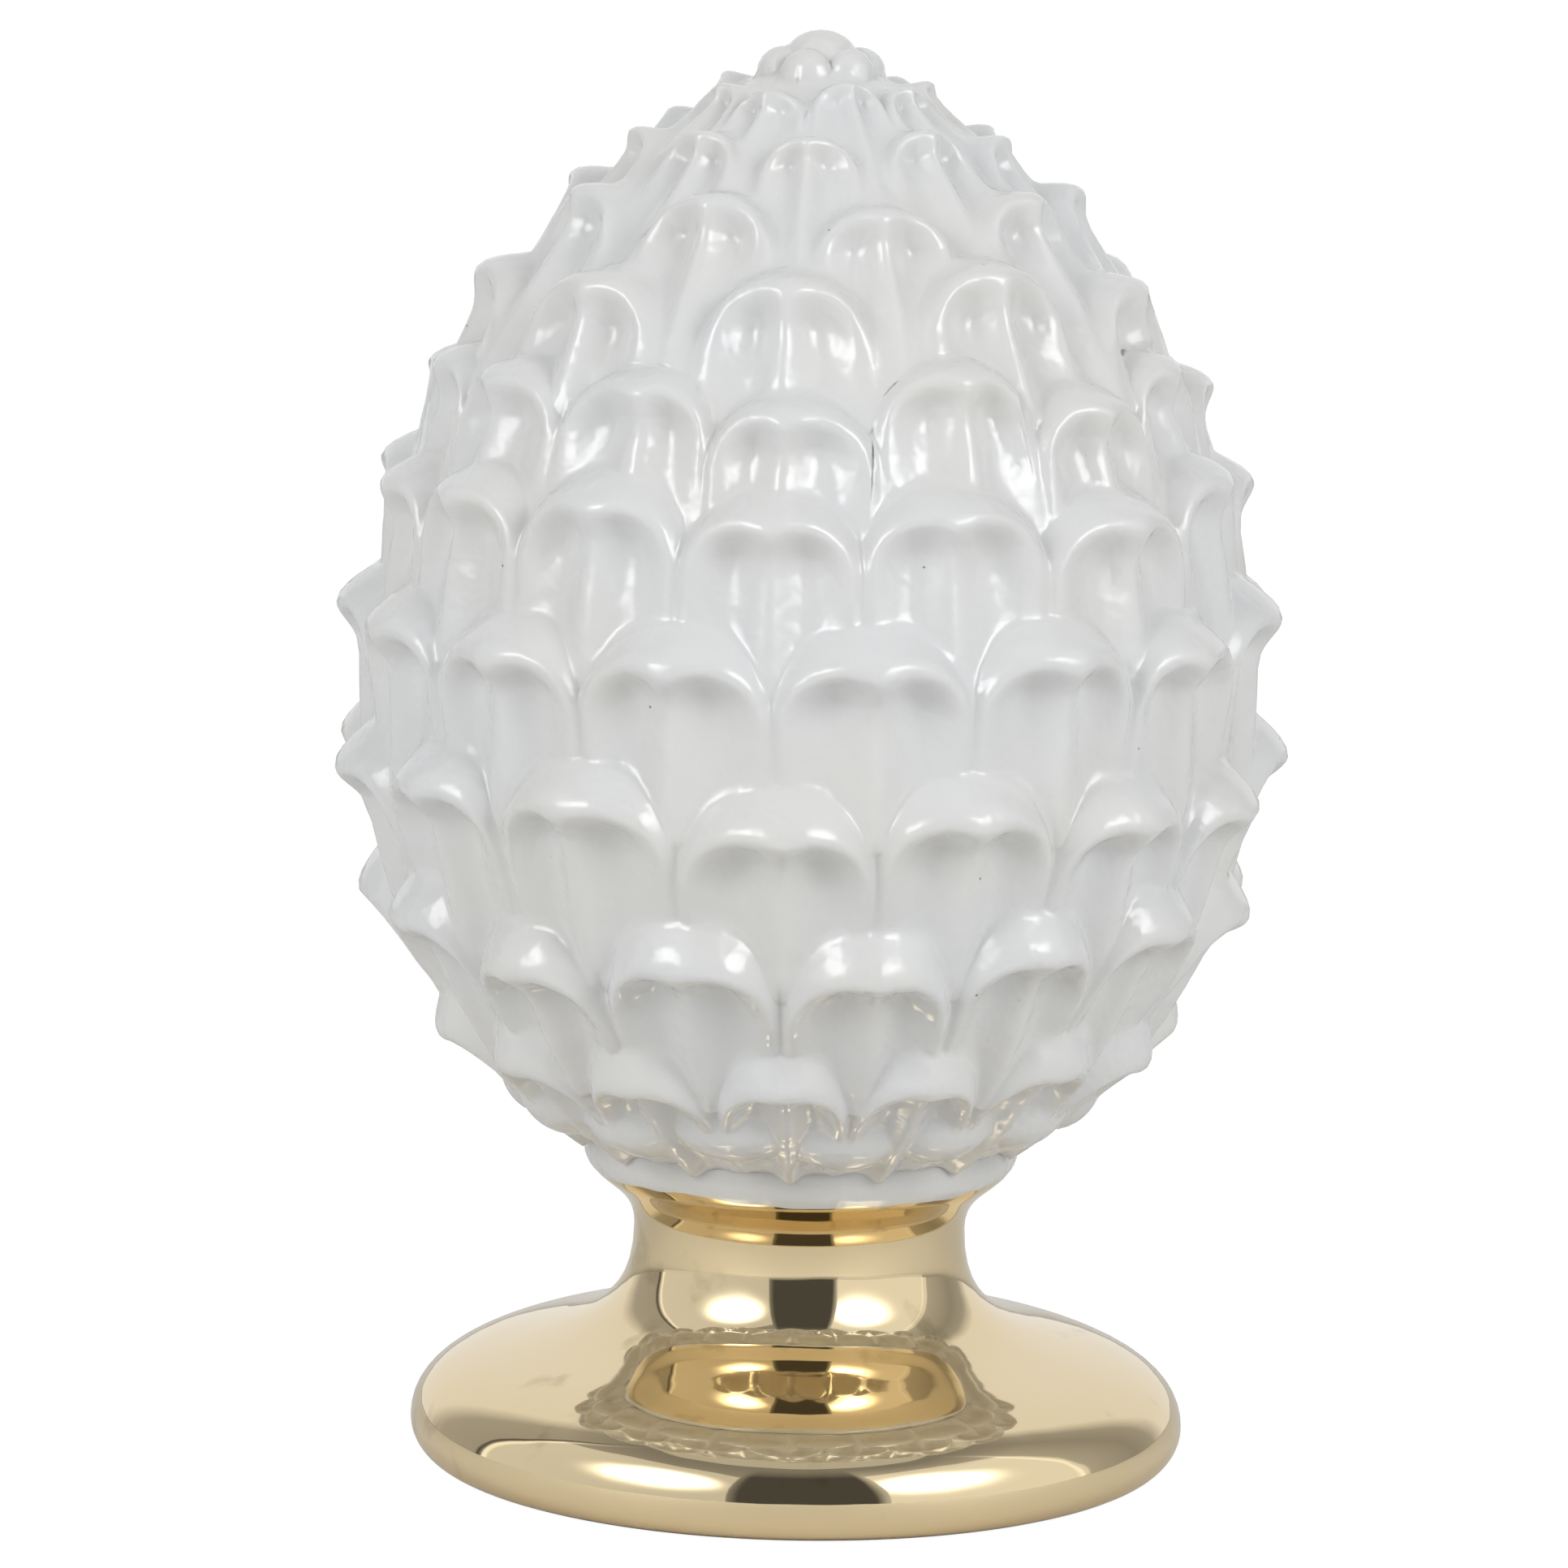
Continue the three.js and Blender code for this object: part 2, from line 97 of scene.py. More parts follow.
# The form of one scale, in shares of its half width or of its relief.
ARCH_POWER = 2.05  # 2 would be an ellipse, more is squarer
SIDE_LAP = 1.12  # how far it reaches under its neighbour
CROTCH = 0.58  # how far down its arch it meets its neighbour
RIM = 0.8  # where the brow runs down the sides
RIM_RELIEF = 0.48  # how far the rim stands out beside the arch
RIM_FADE = 1.2  # and how soon it dies away below
CREST_POWER = 1.3  # how soon the brow sinks to the rim down the sides
BROW_ROUNDING = 0.32
FACE_RELIEF = 0.42  # of the ridge far below the brow
RIDGE_FADE = 0.75
HOLLOW_RELIEF = 0.14  # of the face beside the ridge, far below the brow
HOLLOW_FADE = 0.5
DROP = 0.12  # how soon the face falls away behind the brow
SIDE_DROP = 0.14  # added to that down the sides
NOSE_DROP = 0.12  # and over the ridge
NOSE_WIDTH = 0.28
TUCK = 0.22  # a scale covers the ones behind it from this far inside its edge
TUCK_SLOPE = 2
COVER = 0.72  # how far down its arches a full row starts to cover all that is behind it
FAR_OUTSIDE = -10.0

# Metres again.
SIDE_FILLET = 0.0016  # by which neighbours run into each other
SKIN = 0.0006  # of the bare cone that always shows between scales
INSET = 0.0002  # the carving stays this far inside its solid

# Fineness of the mesh.
FULL_COLUMNS = 14  # columns to each half scale of a full row
SPARSE_COLUMNS = 13
COLUMN_PULL = 0.45  # how strongly the columns crowd at ridges and between scales
PEDESTAL_COLUMNS = 192
PROFILE_STEPS = 240  # straight steps to each curve of the pedestal
RING_STRIDE = 20  # of which every so many carries a ring
BEND_REACH = 0.6  # how far the shoulder's slope pulls at its two bends
ARC_HANDLE = 0.5523  # handle of a Bezier curve that draws a quarter circle of radius 1
TIP_STEPS = [0.85, 0.7, 0.5, 0.35, 0.2, 0.1]  # rings between the tip and the highest row
LEDGE_RINGS = 6  # rings from a row's roots down to its brows
LEDGE_CROWDING = 1.15  # more than 1 crowds them at the roots
DROP_RINGS = 7  # and from there down to the hollows under the brows
FACE_RINGS = 8  # and from there down to the next row
SILL_DROP = 0.36  # how far the hollow is under its brow, in half widths
BROW_BAND = (0.1, 0.45)  # the shares of its row's band that a brow stays between
SILL_BAND = 0.75  # and the one that the hollow stays above
SEARCH_STEPS = 90  # when looking for the edge of a scale
LEAST_BAND = 0.0025  # metres from one row's roots to the next row's
FULL_TURN = 360.0

# Colours, linear.
GLAZE_COLOUR = (0.635, 0.645, 0.652)
GLAZE_WARM = (0.638, 0.64, 0.63)
PINHOLE_COLOUR = (0.16, 0.14, 0.12)
LUSTRE_COLOUR = (0.80, 0.66, 0.42)
WORN_LUSTRE = (0.62, 0.5, 0.3)
BISQUE_COLOUR = (0.55, 0.42, 0.32)
FLOOR_COLOUR = (0.78, 0.77, 0.75)

GLAZE_ROUGHNESS = 0.035
LUSTRE_ROUGHNESS = 0.04
BISQUE_ROUGHNESS = 0.8
FLOOR_ROUGHNESS = 0.7

# The glaze's and the lustre's unevenness: patches, ripples and cells to the metre, sizes in metres.
GLAZE_PATCHES = 28.0
PATCH_RANGE = (0.35, 0.65)  # the noise at which a patch begins and is full
GLAZE_RIPPLES = 140.0
GLAZE_RIPPLE_HEIGHT = 0.0007
PINHOLE_CELLS = 95.0
PINHOLE_RADIUS = 0.0004
PINHOLE_SHARE = 0.3  # of the cells, that have a pinhole
LUSTRE_RIPPLES = 38.0
LUSTRE_RIPPLE_HEIGHT = 0.00025
WEAR_PATCHES = 60.0
WEAR_RANGE = (0.6, 0.72)
WEAR_DETAIL = 6.0
PLAIN_DETAIL = 2.0

# Where the white glaze ends and the lustre begins, in a wavy line. Waves: how many go round, how
# high each is and where it starts, in radians.
LUSTRE_EDGE = 0.062
EDGE_WAVES = [(3, 0.0007, 0.4), (7, 0.0004, 2.1), (17, 0.0002, 0.9), (29, 0.00015, 3.3)]
EDGE_REACH = 0.003  # how far from the edge the rings follow it

# The studio. Walls: azimuth in degrees from the front, grey.
FLOOR_REACH = 8.0
FLOOR_SHADE = 0.15  # how much of the floor's shadow shows
FLOOR_WHITE = 1.13  # light that the floor sends to the camera
WALLS = [
    (-180, 1.1), (-142, 1.1), (-130, 0.55), (-109, 0.5), (-108.5, 0.08), (-107, 0.08),
    (-106.5, 1.0), (-104, 1.0), (-103, 0.5), (-21, 0.4), (-17, 0.1), (24, 0.1), (27, 0.7),
    (92, 0.7), (93, 1.1), (96, 1.1), (97, 0.6), (120, 0.4), (132, 0.5), (142, 1.1), (180, 1.1),
]
WALL_LIGHT = 0.82
CEILING = 0.32
CEILING_FROM = math.sin(math.radians(52))  # the walls go over into it between these heights
CEILING_TO = math.sin(math.radians(66))

# Two softboxes stand on the floor, each from one azimuth to another, with a lamp behind its cloth.
SOFTBOX_AWAY = 1.3
SOFTBOX_TOP = 2.0
SOFTBOX_GLOW = 0.38
LEFT_SOFTBOX = (-104.0, -20.0)
RIGHT_SOFTBOX = (27.0, 92.0)
LAMP_AZIMUTH = 43.0  # to either side of the front
LAMP_HEIGHT = 0.95
LAMP_REACH = 1.1
LAMP_GLOW = 7.0
LAMP_FOCUS = 3.0
OVERHEAD_HEIGHT = 2.0
OVERHEAD_SIZE = 1.6
OVERHEAD_LIGHT = 0.3

# The camera.
AIM = (-0.0049, 0.0, 0.1421)
CAMERA_AWAY = 1.65
CAMERA_RISE = math.radians(9.2)
CAMERA_ROLL = math.radians(1.05)
LENS = 182.5
SENSOR = 36.0


def cone_curve(samples=2000):
    """Radius, height and way up of the bare cone's outline, from the collar to the tip."""
    start = -math.acos((COLLAR_RADIUS - CONE_STEP) / BELLY_RADIUS)
    angle = start + np.linspace(0, 1, samples) * (math.pi / 2 - start)
    climb = np.sin(angle)
    below = angle < 0
    drop = (BELLY_HEIGHT - CONE_BASE) / math.sin(start)
    taper = np.maximum(0, 1 - np.maximum(climb, 0) ** TAPER_POWER) ** (1 / BLUNTNESS)
    radius = BELLY_RADIUS * np.where(below, np.cos(angle), taper)
    height = BELLY_HEIGHT + np.where(below, -drop * climb, (CONE_TIP - BELLY_HEIGHT) * climb)
    steps = np.hypot(np.diff(radius), np.diff(height))
    return radius, height, np.concatenate([[0], np.cumsum(steps)])


CURVE_RADIUS, CURVE_HEIGHT, CURVE_WAY = cone_curve()
CONE_LENGTH = CURVE_WAY[-1]


def cone_at(climb):
    """Radius, height and the direction upwards of the bare cone at a way up its curve."""
    near = CONE_LENGTH / 1000
    low = np.clip(climb - near, 0, CONE_LENGTH)
    high = np.clip(climb + near, 0, CONE_LENGTH)
    along_r = np.interp(high, CURVE_WAY, CURVE_RADIUS) - np.interp(low, CURVE_WAY, CURVE_RADIUS)
    along_z = np.interp(high, CURVE_WAY, CURVE_HEIGHT) - np.interp(low, CURVE_WAY, CURVE_HEIGHT)
    length = np.hypot(along_r, along_z)
    radius = np.interp(climb, CURVE_WAY, CURVE_RADIUS)
    height = np.interp(climb, CURVE_WAY, CURVE_HEIGHT)
    return radius, height, along_r / length, along_z / length


def measured(row):
    """The row with its lengths in metres: half a scale's width, the way up to its arches' tops."""
    half_width = row["width"] * math.pi * cone_at(row["seat"] * CONE_LENGTH)[0] / row["count"]
    top = row["seat"] * CONE_LENGTH + row["ledge"] * half_width
    return {**row, "half_width": half_width, "top": top, "pitch": FULL_TURN / row["count"]}


rows = [measured(row) for row in ROWS]


def stray_of(row, scale, which):
    """A steady number from -1 to 1 for one scale of a row."""
    number = np.mod(scale, row["count"])
    scrambled = np.sin(row["seed"] * 12.9898 + number * 78.233 + which * 37.719) * 43758.5453
    return 2 * (scrambled - np.floor(scrambled)) - 1


def smooth_max(a, b, rounding):
    """The greater of two heights, running smoothly from one to the other."""
    return 0.5 * (a + b + np.sqrt((a - b) ** 2 + rounding**2))


def place_in_scale(row, across, down):
    """Where a place is against a scale's outline; out is 0 in the middle of the arch, 1 on it."""
    side = np.abs(across) / SIDE_LAP
    up = 1 - down / row["arch"]
    up = np.abs(up) if "lobes" in row else np.maximum(0, up)
    out = (side**ARCH_POWER + up**ARCH_POWER) ** (1 / ARCH_POWER)
    steep = up / np.maximum(np.hypot(up, side), 1e-6)
    reach = row["arch"] * steep**2 + 1 - steep**2
    brow = RIM + (1 - row["ledge"] / row["arch"] - RIM) * steep**2
    return out, steep, reach, brow


def ledge_rise(share):
    """How far the slope from a scale's edge down to its brow has risen, both from 0 to 1."""
    whole = math.hypot(1, BROW_ROUNDING)
    return (whole - np.hypot(1 - share, BROW_ROUNDING)) / (whole - BROW_ROUNDING)


def face_rise(row, across, down):
    """Height of the face below the brow, as a share of the relief: a ridge between two hollows."""
    below = np.maximum(0, down - row["ledge"])
    ridge = FACE_RELIEF + (row["spine"] - FACE_RELIEF) * np.exp(-below / RIDGE_FADE)
    hollow = HOLLOW_RELIEF + (row["hollow"] - HOLLOW_RELIEF) * np.exp(-below / HOLLOW_FADE)
    return hollow + (ridge - hollow) * np.exp(-((across / row["ridge"]) ** 2))


def scale_height(row, across, down):
    """Height of one scale over the bare cone, in half widths; negative outside its outline."""
    out, steep, reach, brow = place_in_scale(row, across, down)
    if "lobes" in row:
        lobe = row["relief"] * np.sqrt(1 - np.minimum(out, 1) ** 2)
        return np.where(out >= 1, (1 - out) * reach, lobe)
    rim = RIM_RELIEF * np.exp(-np.maximum(0, down - row["arch"]) / RIM_FADE)
    crest = rim + (1 - rim) * steep**CREST_POWER
    ledge = crest * ledge_rise(np.clip((1 - out) / (1 - brow), 0, 1))
    face = face_rise(row, across, down)
    nose = np.exp(-((across / NOSE_WIDTH) ** 2))
    drop = DROP + SIDE_DROP * (1 - steep**2) + NOSE_DROP * nose
    kept = np.exp(-((np.maximum(0, brow - out) * reach / drop) ** 2))
    inner = face + (crest - face) * kept
    height = row["relief"] * np.where(out > brow, ledge, inner)
    return np.where(out >= 1, (1 - out) * reach, height)


def middle_of(row, scale):
    """The angle of a scale's middle."""
    half_pitch = 0.5 * row["pitch"]
    return row["turn"] + half_pitch * (2 * scale + row["stray"] * row["width"] * stray_of(row, scale, 1))


def scale_place(row, scale, angle, climb):
    """Where an angle and a way up the cone are in one scale of a row, in its half widths."""
    centre = middle_of(row, scale)
    before = centre - middle_of(row, scale - 1)
    after = middle_of(row, scale + 1) - centre
    away = angle - centre
    across = 2 * away / (row["width"] * np.where(away < 0, before, after))
    down = (row["top"] - climb) / row["half_width"] + row["stray"] * stray_of(row, scale, 2)
    return across, down


def row_height(row, angle, climb):
    """Height of a row, and how much lower the rows behind it have to stay there."""
    nearest = np.round((angle - row["turn"]) / row["pitch"])
    height = np.full(np.shape(angle), -row["half_width"])
    inside = np.full(np.shape(angle), FAR_OUTSIDE)
    for beside in (-1, 0, 1):
        across, down = scale_place(row, nearest + beside, angle, climb)
        out, _, reach, _ = place_in_scale(row, across, down)
        own = scale_height(row, across, down) * row["half_width"]
        height = smooth_max(height, own, SIDE_FILLET)
        inside = np.maximum(inside, (1 - out) * reach)
    full = row["width"] >= FULL["width"]
    below = (row["top"] - climb) / row["half_width"] - COVER * row["arch"] if full else 0.0
    tucked = TUCK_SLOPE * (np.maximum(0, inside - TUCK) + np.maximum(0, below)) * row["half_width"]
    return height, tucked


def height_down_to(first, angle, climb):
    """Height over the bare cone of the rows from the tip down to the given one."""
    angle, climb = np.broadcast_arrays(angle, climb)
    bud = BUD_HEIGHT * np.exp(-(((CONE_LENGTH - climb) / BUD_RADIUS) ** 4))
    height = np.maximum(SKIN, bud)
    for row in reversed(rows[first:]):
        own, tucked = row_height(row, angle, climb)
        height = smooth_max(height - tucked, own, row["fillet"])
    return height


def turned(radius, height, angle):
    """Points at radii and heights, at angles in degrees from the front."""
    a = np.radians(angle)
    shape = np.broadcast(radius, height, angle).shape
    parts = (radius * np.sin(a), -radius * np.cos(a), height)
    return np.stack([np.broadcast_to(part, shape) for part in parts], axis=-1)


def on_cone(angle, climb):
    """Points of the carved surface."""
    radius, height, along_r, along_z = cone_at(climb)
    relief = height_down_to(0, angle, climb) - INSET
    return turned(radius + relief * along_z, height - relief * along_r, angle)


def root_climb(index, angle):
    """How far up the cone a row comes out from under the rows above it, at each angle."""
    row = rows[index]
    start, end = -2 * row["stray"], CROTCH * row["arch"] + row["stray"]
    down = np.linspace(start, end, SEARCH_STEPS)[:, None] + 0 * angle[None, :]
    climb = row["top"] - down * row["half_width"]
    around = np.broadcast_to(angle[None, :], climb.shape)
    own, tucked = row_height(row, around, climb)
    gain = own - (height_down_to(index + 1, around, climb) - tucked)
    ahead = gain > 0
    first = np.where(ahead.any(axis=0), np.argmax(ahead, axis=0), SEARCH_STEPS - 1)
    after = np.maximum(first, 1)
    column = np.arange(len(angle))
    low, high = gain[after - 1, column], gain[after, column]
    flat = np.abs(high - low) < 1e-12
    share = np.clip(-low / np.where(flat, 1, high - low), 0, 1)
    return climb[after - 1, column] * (1 - share) + climb[after, column] * share


def brow_climb(row, angle):
    """How far up the cone a row's brow is, at each angle."""
    nearest = np.round((angle - row["turn"]) / row["pitch"])
    across, shift = scale_place(row, nearest, angle, row["top"])
    down = np.linspace(0, row["arch"], SEARCH_STEPS)[:, None]
    out, _, _, brow = place_in_scale(row, across[None, :], down)
    under = out < brow
    first = np.where(under.any(axis=0), np.argmax(under, axis=0), SEARCH_STEPS - 1)
    return row["top"] - (down[first, 0] - shift) * row["half_width"]


def columns_of(row):
    """The angles of a row's columns, crowded at the ridges and between the scales."""
    per_half = FULL_COLUMNS if row["count"] >= FULL["count"] else SPARSE_COLUMNS
    half = np.repeat(np.arange(2 * row["count"]), per_half)
    share = np.tile(np.arange(per_half) / per_half, 2 * row["count"])
    eased = share - COLUMN_PULL * np.sin(2 * math.pi * share) / (2 * math.pi)
    middle = middle_of(row, half // 2)
    following = middle_of(row, half // 2 + 1)
    return np.sort(np.mod(middle + (following - middle) * 0.5 * (half % 2 + eased), FULL_TURN))


def eased_round(climb):
    """Evens out a line's sudden steps from column to column."""
    for _ in range(2):
        climb = 0.5 * climb + 0.25 * (np.roll(climb, 1) + np.roll(climb, -1))
    return climb


def band_ends(index, angle):
    """The way up to a row's root and to the root of the row below it, kept in order."""
    following = CONE_LENGTH - LEAST_BAND
    for i in range(len(rows) - 1, index - 1, -1):
        own = np.minimum(eased_round(root_climb(i, angle)), following)
        following = own - LEAST_BAND
    if index == 0:
        return own, np.zeros_like(own)
    return own, np.minimum(eased_round(root_climb(index - 1, angle)), following)


def band_stations(index, angle):
    """The ways up at which a row's band is cut into rings."""
    row = rows[index]
    root, following = band_ends(index, angle)
    span = root - following
    brow = np.clip(brow_climb(row, angle), root - BROW_BAND[1] * span, root - BROW_BAND[0] * span)
    sill = np.maximum(brow - SILL_DROP * row["half_width"], root - SILL_BAND * span)
    crowded = (np.arange(LEDGE_RINGS) / LEDGE_RINGS) ** LEDGE_CROWDING
    ledge = [root + (brow - root) * share for share in crowded]
    drop = [brow + (sill - brow) * share for share in np.arange(DROP_RINGS) / DROP_RINGS]
    face = [sill + (following - sill) * share for share in np.arange(FACE_RINGS) / FACE_RINGS]
    return ledge + drop + face


def cone_rings():
    """Rings of the cone from its tip down, as angles and points."""
    rings = []
    for i in range(len(rows) - 1, -1, -1):
        angles = columns_of(rows[i])
        stations = band_stations(i, angles)
        if i == len(rows) - 1:
            root = stations[0]
            stations = [root + share * (CONE_LENGTH - root) for share in TIP_STEPS] + stations
        rings += [(angles, on_cone(angles, climb)) for climb in stations]
    return rings


def bezier(a, b, c, d):
    """Points of one curve of an outline, without its last."""
    t = (np.arange(PROFILE_STEPS) / PROFILE_STEPS)[:, None]
    a, b, c, d = (np.array(corner) for corner in (a, b, c, d))
    return (1 - t) ** 3 * a + 3 * (1 - t) ** 2 * t * b + 3 * (1 - t) * t**2 * c + t**3 * d


def pedestal_profile():
    """The pedestal's outline, radius and height, from the cone down to the underside."""
    slope = math.tan(SHOULDER_SLOPE)
    flare = BEND_REACH * (SHOULDER_RADIUS - NECK_RADIUS)
    rim = BEND_REACH * (FOOT_RADIUS - SHOULDER_RADIUS)
    cove = COLLAR_HEIGHT - COVE_DEPTH
    handle = ARC_HANDLE * RIM_ROUNDING
    rim_inside = FOOT_RADIUS - RIM_ROUNDING
    start = (COLLAR_RADIUS - CONE_STEP, CONE_BASE)
    corner = (COLLAR_RADIUS, CONE_BASE)
    collar = (COLLAR_RADIUS, COLLAR_HEIGHT)
    neck = (NECK_RADIUS, NECK_HEIGHT)
    shoulder = (SHOULDER_RADIUS, SHOULDER_HEIGHT)
    edge = (FOOT_RADIUS, RIM_ROUNDING)
    seat = (rim_inside, 0.0)
    seat_inside = rim_inside - SEAT_WIDTH
    curves = [
        bezier(start, corner, corner, collar),
        bezier(collar, (COLLAR_RADIUS, cove), (NECK_RADIUS, cove), neck),
        bezier(
            neck,
            (NECK_RADIUS, NECK_HEIGHT - NECK_FLARE),
            (SHOULDER_RADIUS - flare, SHOULDER_HEIGHT + slope * flare),
            shoulder,
        ),
        bezier(
            shoulder,
            (SHOULDER_RADIUS + rim, SHOULDER_HEIGHT - slope * rim),
            (FOOT_RADIUS, (SHOULDER_HEIGHT + RIM_ROUNDING) / 2),
            edge,
        ),
        bezier(edge, (FOOT_RADIUS, RIM_ROUNDING - handle), (rim_inside + handle, 0.0), seat),
    ]
    under = [seat, (seat_inside, 0.0), (seat_inside - RECESS_DEPTH, RECESS_DEPTH)]
    return np.concatenate(curves + [np.array(under)])


def edge_wave(angles):
    """How far down the outline the lustre's edge strays, at angles in degrees."""
    around = np.radians(angles)
    return sum(size * np.sin(count * around + start) for count, size, start in EDGE_WAVES)


def pedestal_rings():
    """Rings of the pedestal, and how many of them are above the lustre's wavy edge."""
    angles = np.arange(PEDESTAL_COLUMNS) * FULL_TURN / PEDESTAL_COLUMNS
    outline = pedestal_profile()
    way = np.concatenate([[0], np.cumsum(np.hypot(*np.diff(outline, axis=0).T))])
    stations = np.concatenate([way[:-3:RING_STRIDE], way[-3:]])
    edge = np.interp(-LUSTRE_EDGE, -outline[:, 1], way)
    white = int(np.argmax(stations > edge))
    stations[white] = edge
    rings = []
    for station in stations:
        strayed = station + edge_wave(angles) * math.exp(-(((station - edge) / EDGE_REACH) ** 2))
        radius = np.interp(strayed, way, outline[:, 0])
        height = np.interp(strayed, way, outline[:, 1])
        rings.append((angles, turned(radius, height, angles)))
    return rings, white


def stitch(upper, lower, upper_start, lower_start):
    """Faces between two rings: quads where their columns agree, triangles where they don't."""
    angles_a, angles_b = upper[0], lower[0]
    count_a, count_b = len(angles_a), len(angles_b)
    if count_a == count_b and np.allclose(angles_a, angles_b):
        k = np.arange(count_a)
        following = (k + 1) % count_a
        corners = [upper_start + k, lower_start + k, lower_start + following, upper_start + following]
        return np.stack(corners, axis=1).tolist()
    ahead_a = np.append(angles_a[1:], [angles_a[0] + FULL_TURN, math.inf])
    ahead_b = np.append(angles_b[1:], [angles_b[0] + FULL_TURN, math.inf])
    faces = []
    i, j = 0, 0
    while i < count_a or j < count_b:
        a, b = upper_start + i % count_a, lower_start + j % count_b
        if ahead_a[i] < ahead_b[j]:
            faces.append([a, b, upper_start + (i + 1) % count_a])
            i += 1
        else:
            faces.append([a, b, lower_start + (j + 1) % count_b])
            j += 1
    return faces


def fan(count, start, middle, facing_up):
    """Closes a ring with triangles round one point."""
    pairs = [(start + k, start + (k + 1) % count) for k in range(count)]
    return [[middle, a, b] if facing_up else [middle, b, a] for a, b in pairs]


def finial_mesh():
    """One closed mesh of the whole finial, and how many of its faces are white."""
    cone, (pedestal, white) = cone_rings(), pedestal_rings()
    rings = cone + pedestal
    starts = np.concatenate([[0], np.cumsum([len(angles) for angles, _ in rings])]).tolist()
    tip = starts[-1]
    under = tip + 1
    ends = [on_cone(np.array([0.0]), np.array([CONE_LENGTH])), np.array([[0.0, 0.0, RECESS_DEPTH]])]
    points = np.concatenate([ring for _, ring in rings] + ends)
    faces = fan(len(rings[0][0]), starts[0], tip, True)
    for k in range(len(rings) - 1):
        if k == len(cone) + white:
            white_faces = len(faces)
        faces += stitch(rings[k], rings[k + 1], starts[k], starts[k + 1])
    last = len(rings) - 1
    faces += fan(len(rings[last][0]), starts[last], under, False)
    mesh = bpy.data.meshes.new("pinecone")
    mesh.from_pydata(points.tolist(), [], faces)
    mesh.polygons.foreach_set("use_smooth", [True] * len(mesh.polygons))
    mesh.update()
    return mesh, white_faces


def principled(name, colour, roughness, metallic=0.0):
    """A material and its shader, to which a function of its own adds the rest."""
    material = bpy.data.materials.new(name)
    material.use_nodes = True
    shader = material.node_tree.nodes["Principled BSDF"]
    shader.inputs["Base Color"].default_value = (*colour, 1)
    shader.inputs["Roughness"].default_value = roughness
    shader.inputs["Metallic"].default_value = metallic
    return material, shader


def noise(nodes, links, place, scale, detail=PLAIN_DETAIL):
    """A noise over the object's own coordinates, its scale in waves to the metre."""
    texture = nodes.new("ShaderNodeTexNoise")
    texture.inputs["Scale"].default_value = scale
    texture.inputs["Detail"].default_value = detail
    links.new(place.outputs["Object"], texture.inputs["Vector"])
    return texture.outputs["Fac"]


def mixed(nodes, links, share, first, second):
    """A colour between two others, either of which may be the output of a node."""
    mix = nodes.new("ShaderNodeMix")
    mix.data_type = "RGBA"
    links.new(share, mix.inputs["Factor"])
    for socket, colour in (("A", first), ("B", second)):
        if isinstance(colour, tuple):
            mix.inputs[socket].default_value = (*colour, 1)
        else:
            links.new(colour, mix.inputs[socket])
    return mix.outputs["Result"]


def eased(nodes, links, value, low, high):
    """A value's way from low to high, from 0 to 1; low may be the greater."""
    ease = nodes.new("ShaderNodeMapRange")
    ease.interpolation_type = "SMOOTHSTEP"
    ease.inputs["From Min"].default_value = min(low, high)
    ease.inputs["From Max"].default_value = max(low, high)
    ease.inputs["To Min"].default_value = 0.0 if low < high else 1.0
    ease.inputs["To Max"].default_value = 1.0 if low < high else 0.0
    links.new(value, ease.inputs["Value"])
    return ease.outputs["Result"]


def worked(nodes, links, operation, *values):
    """The result of a sum, whose values may be numbers or the outputs of nodes."""
    maths = nodes.new("ShaderNodeMath")
    maths.operation = operation
    for socket, value in zip(maths.inputs, values):
        if isinstance(value, (int, float)):
            socket.default_value = value
        else:
            links.new(value, socket)
    return maths.outputs["Value"]


def bumped(nodes, links, height, distance, shader):
    """Bends a shader's surface by a height from 0 to 1."""
    bump = nodes.new("ShaderNodeBump")
    bump.inputs["Distance"].default_value = distance
    links.new(height, bump.inputs["Height"])
    links.new(bump.outputs["Normal"], shader.inputs["Normal"])


def specks(nodes, links, place, per_metre, radius, share):
    """Small round specks in some of the cells of an uneven grid, from 0 to 1."""
    cells = nodes.new("ShaderNodeTexVoronoi")
    cells.inputs["Scale"].default_value = per_metre
    links.new(place.outputs["Object"], cells.inputs["Vector"])
    near = eased(nodes, links, cells.outputs["Distance"], radius * per_metre, 0.5 * radius * per_metre)
    pick = nodes.new("ShaderNodeSeparateColor")
    links.new(cells.outputs["Color"], pick.inputs["Color"])
    chosen = worked(nodes, links, "LESS_THAN", pick.outputs["Red"], share)
    return worked(nodes, links, "MULTIPLY", near, chosen)


def glaze_material():
    """White tin glaze: cool and warm patches, pinholes, and a surface that isn't quite even."""
    material, shader = principled("white_glaze", GLAZE_COLOUR, GLAZE_ROUGHNESS)
    nodes, links = material.node_tree.nodes, material.node_tree.links
    place = nodes.new("ShaderNodeTexCoord")
    patches = eased(nodes, links, noise(nodes, links, place, GLAZE_PATCHES), *PATCH_RANGE)
    base = mixed(nodes, links, patches, GLAZE_COLOUR, GLAZE_WARM)
    pinholes = specks(nodes, links, place, PINHOLE_CELLS, PINHOLE_RADIUS, PINHOLE_SHARE)
    links.new(mixed(nodes, links, pinholes, base, PINHOLE_COLOUR), shader.inputs["Base Color"])
    bumped(nodes, links, noise(nodes, links, place, GLAZE_RIPPLES), GLAZE_RIPPLE_HEIGHT, shader)
    return material


